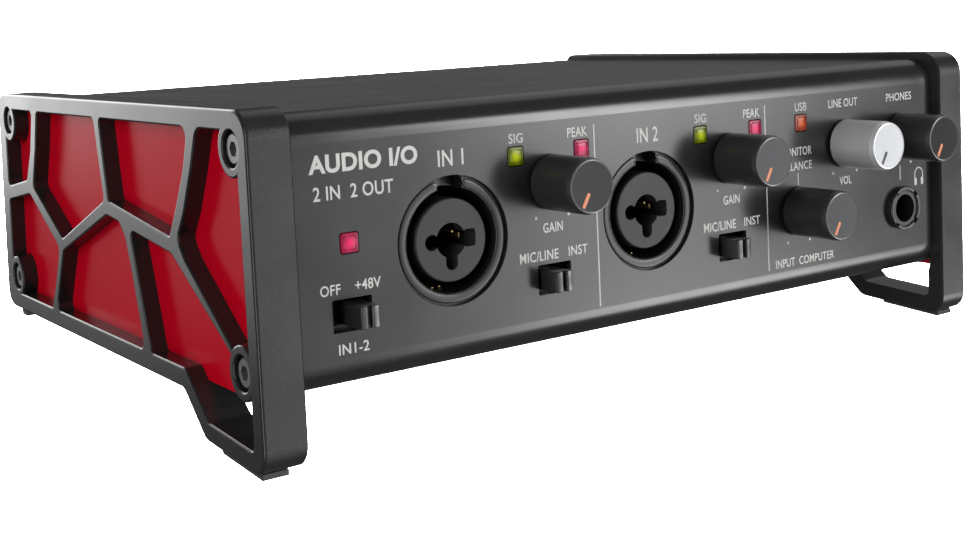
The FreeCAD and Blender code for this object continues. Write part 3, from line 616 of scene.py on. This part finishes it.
# headphone sign: a band over two cups
hx, hz = 79.65, 20.9
arc_o, arc_i = [], []
for k in range(17):
    a = math.pi * k / 16
    arc_o.append((hx + 1.55 * math.cos(a), hz + 0.55 + 1.75 * math.sin(a)))
    arc_i.append((hx + 1.27 * math.cos(a), hz + 0.55 + 1.47 * math.sin(a)))
prism(bm, arc_o + [(hx - 1.55, hz - 0.6), (hx - 1.27, hz - 0.6)] + list(reversed(arc_i)) + [(hx + 1.27, hz - 0.6), (hx + 1.55, hz - 0.6)],
      lambda p, e: (p[0], -0.002 if e else -0.022, p[1]))
for sgn in (-1, 1):
    cup = loop([(hx + sgn * 0.75, hz - 1.9, 0.2), (hx + sgn * 1.6, hz - 1.9, 0.3), (hx + sgn * 1.6, hz - 0.2, 0.3), (hx + sgn * 0.75, hz - 0.2, 0.2)], 4)
    prism(bm, cup, lambda p, e: (p[0], -0.003 if e else -0.024, p[1]))
rule(bm, -17.95, -17.65, 5.1, 41.2)
rule(bm, 29.15, 29.45, 5.5, 41.4)
rule(bm, 38.9, 39.15, 23.1, 25.9)
rule(bm, 72.9, 73.15, 20.8, 24.2)
make("panel_print", bm, [INK, INK_LINE], "chassis", sharp=60)

# socket contact numbers, moulded 0.1 mm proud of the insert
for name, (x, z) in COMBO.items():
    legend("1", x + 5.3, z - 2.9, 1.2, 0.55, weight=0.0, y=1.0)
    legend("2", x - 5.1, z - 2.9, 1.2, 0.8, weight=0.0, y=1.0)
    legend("3", x - 1.7, z - 5.6, 1.2, 0.8, weight=0.0, y=1.0)
    make(name + "_contact_numbers", collect("n", [GREY]), [GREY], "chassis", sharp=60)

# rear legends
Y = PANEL_REAR + 0.012
legend("LINE OUT", 58.0, 27.2, 1.9, 9.6, y=Y, back=True)
legend("L", 68.0, 23.2, 1.9, 1.2, y=Y, back=True)
legend("R", 48.0, 23.2, 1.9, 1.4, y=Y, back=True)
legend("MIDI OUT", -8.0, 28.4, 1.9, 9.4, y=Y, back=True)
legend("MIDI IN", 20.0, 28.4, 1.9, 8.0, y=Y, back=True)
legend("USB", -38.0, 14.4, 1.9, 4.0, y=Y, back=True)
legend("DC 5V", -62.0, 20.0, 1.9, 6.4, y=Y, back=True)
make("rear_print", collect("r", [INK]), [INK], "chassis", sharp=60)

# ---------------------------------------------------------------- floor, light and camera
bm = bmesh.new()
S = 8.0
vs = [bm.verts.new(c) for c in ((-S, -S, 0), (S, -S, 0), (S, S, 0), (-S, S, 0))]
bm.faces.new(vs)
me = bpy.data.meshes.new("floor")
bm.to_mesh(me); bm.free()
floor = bpy.data.objects.new("floor", me)
floor.data.materials.append(surface("floor_pale", (0.93, 0.93, 0.93), 0.6, vary=0.01, grain=30, grain_mm=0.0, patch=3, spec=0.2))
sc.collection.objects.link(floor)

world = bpy.data.worlds.new("studio")
sc.world = world
world.use_nodes = True
wt = world.node_tree
bg = wt.nodes["Background"]
co = wt.nodes.new("ShaderNodeTexCoord")
sep = wt.nodes.new("ShaderNodeSeparateXYZ")
wt.links.new(co.outputs["Generated"], sep.inputs[0])


def wmath(op, a, b=None):
    n = wt.nodes.new("ShaderNodeMath")
    n.operation = op
    for k, v in enumerate((a, b)):
        if v is None:
            continue
        if isinstance(v, (int, float)):
            n.inputs[k].default_value = v
        else:
            wt.links.new(v, n.inputs[k])
    return n.outputs[0]


def window(value, middle, half, soft):
    n = wt.nodes.new("ShaderNodeMapRange")
    n.interpolation_type = "SMOOTHSTEP"
    wt.links.new(wmath("ABSOLUTE", wmath("SUBTRACT", value, middle)), n.inputs["Value"])
    for k, v in (("From Min", half - soft), ("From Max", half + soft), ("To Min", 1.0), ("To Max", 0.0)):
        n.inputs[k].default_value = v
    return n.outputs[0]


AZ = wmath("MULTIPLY", wmath("ARCTAN2", sep.outputs["X"], sep.outputs["Y"]), 180 / math.pi)
EL = wmath("MULTIPLY", wmath("ARCSINE", sep.outputs["Z"]), 180 / math.pi)
# softboxes round the table: azimuth from the back wall, elevation, half sizes, edge softness, radiance
BOXES = [
    (139.3, 14.0, 5.2, 13.0, 5.2, 6.0, 15.5),    # strip, front right, above the table line
    (139.4, -5.0, 5.8, 14.0, 5.0, 8.0, 2.6),     # its lower end
    (136.5, -15.0, 6.2, 6.0, 5.0, 5.0, 4.6),     # and its image in the table top
    (132.0, -25.0, 8.0, 8.0, 6.0, 6.0, 8.5),
    (166.0, -5.0, 30.0, 18.0, 8.0, 8.0, 0.85),   # wide, front
    (160.0, -33.0, 32.0, 17.0, 10.0, 8.0, 0.4),
    (-112.0, -5.0, 8.0, 28.0, 8.0, 10.0, 4.5),   # strip, front left
    (-5.5, 12.0, 14.0, 21.0, 8.0, 3.0, 4.1),     # back left
    (-27.0, -6.0, 6.0, 9.0, 5.0, 3.0, 1.6),
    (35.0, 0.0, 30.0, 8.0, 10.0, 8.0, 0.05),
    (58.0, 45.0, 24.0, 22.0, 8.0, 20.0, 0.6),    # ceiling bounce, back right
    (-25.0, 20.0, 30.0, 18.0, 10.0, 8.0, 0.4),
]
total = None
for az0, el0, ha, he, sa, se, level in BOXES:
    v = wmath("MULTIPLY", wmath("MULTIPLY", window(AZ, az0, ha, sa), window(EL, el0, he, se)), level)
    total = v if total is None else wmath("ADD", total, v)
total = wmath("ADD", total, 0.085)
bg.inputs[1].default_value = 1.0
wt.links.new(total, bg.inputs[0])
pale = wt.nodes.new("ShaderNodeBackground")
pale.inputs[0].default_value = (0.96, 0.96, 0.96, 1)
path = wt.nodes.new("ShaderNodeLightPath")
pick = wt.nodes.new("ShaderNodeMixShader")
wt.links.new(path.outputs["Is Camera Ray"], pick.inputs[0])
wt.links.new(bg.outputs[0], pick.inputs[1])
wt.links.new(pale.outputs[0], pick.inputs[2])
wt.links.new(pick.outputs[0], wt.nodes["World Output"].inputs[0])


def area(name, at, to, w, h, radiance, glossy=True, colour=(1, 1, 1)):
    li = bpy.data.lights.new(name, "AREA")
    li.shape = "RECTANGLE"
    li.size, li.size_y = w, h
    li.energy = radiance * math.pi * w * h
    li.color = colour
    o = bpy.data.objects.new(name, li)
    o.location = at
    o.rotation_euler = (Vector(to) - Vector(at)).to_track_quat("-Z", "Y").to_euler()
    o.visible_glossy = glossy
    sc.collection.objects.link(o)
    return o


li = bpy.data.lights.new("overhead", "SUN")
li.energy = 60.0
li.use_shadow = False
li.angle = math.radians(120)
overhead = bpy.data.objects.new("overhead", li)
overhead.visible_glossy = False
sc.collection.objects.link(overhead)
only = bpy.data.collections.new("floor_only")
only.objects.link(floor)
overhead.light_linking.receiver_collection = only
floor.visible_glossy = floor.visible_diffuse = floor.visible_shadow = False
area("key", (0.62, -1.35, 0.42), (0, 0, 0.03), 0.6, 0.6, 14.0, glossy=False)
area("fill", (-1.25, -0.55, 0.75), (0, 0, 0.03), 0.9, 0.9, 4.0, glossy=False)

CAM = {
    "pos": (-190.678, -213.8326, 63.2964),
    "right": (0.8242906, -0.5642543, -0.0464982),
    "down": (-0.0877615, -0.0462062, -0.9950693),
    "forward": (0.5593237, 0.8243070, -0.0876071),
    "f": 1406.216, "cx": 476.398, "cy": 140.0,
}
cam = bpy.data.cameras.new("photo_view")
cam.sensor_fit = "HORIZONTAL"
cam.sensor_width = 36.0
cam.lens = CAM["f"] / 967 * 36.0
cam.shift_x = (483.5 - CAM["cx"]) / 967
cam.shift_y = (CAM["cy"] - 266.5) / 967
cam.clip_start, cam.clip_end = 0.01, 50
co = bpy.data.objects.new("photo_view", cam)
r, d, f = (DIRS @ Vector(CAM[k]) for k in ("right", "down", "forward"))
m = Matrix((r, -d, -f)).transposed().to_4x4()
m.translation = BODY @ Vector(CAM["pos"])
co.matrix_world = m
sc.collection.objects.link(co)
sc.camera = co
sc.view_settings.view_transform = "Standard"
sc.view_settings.look = "None"
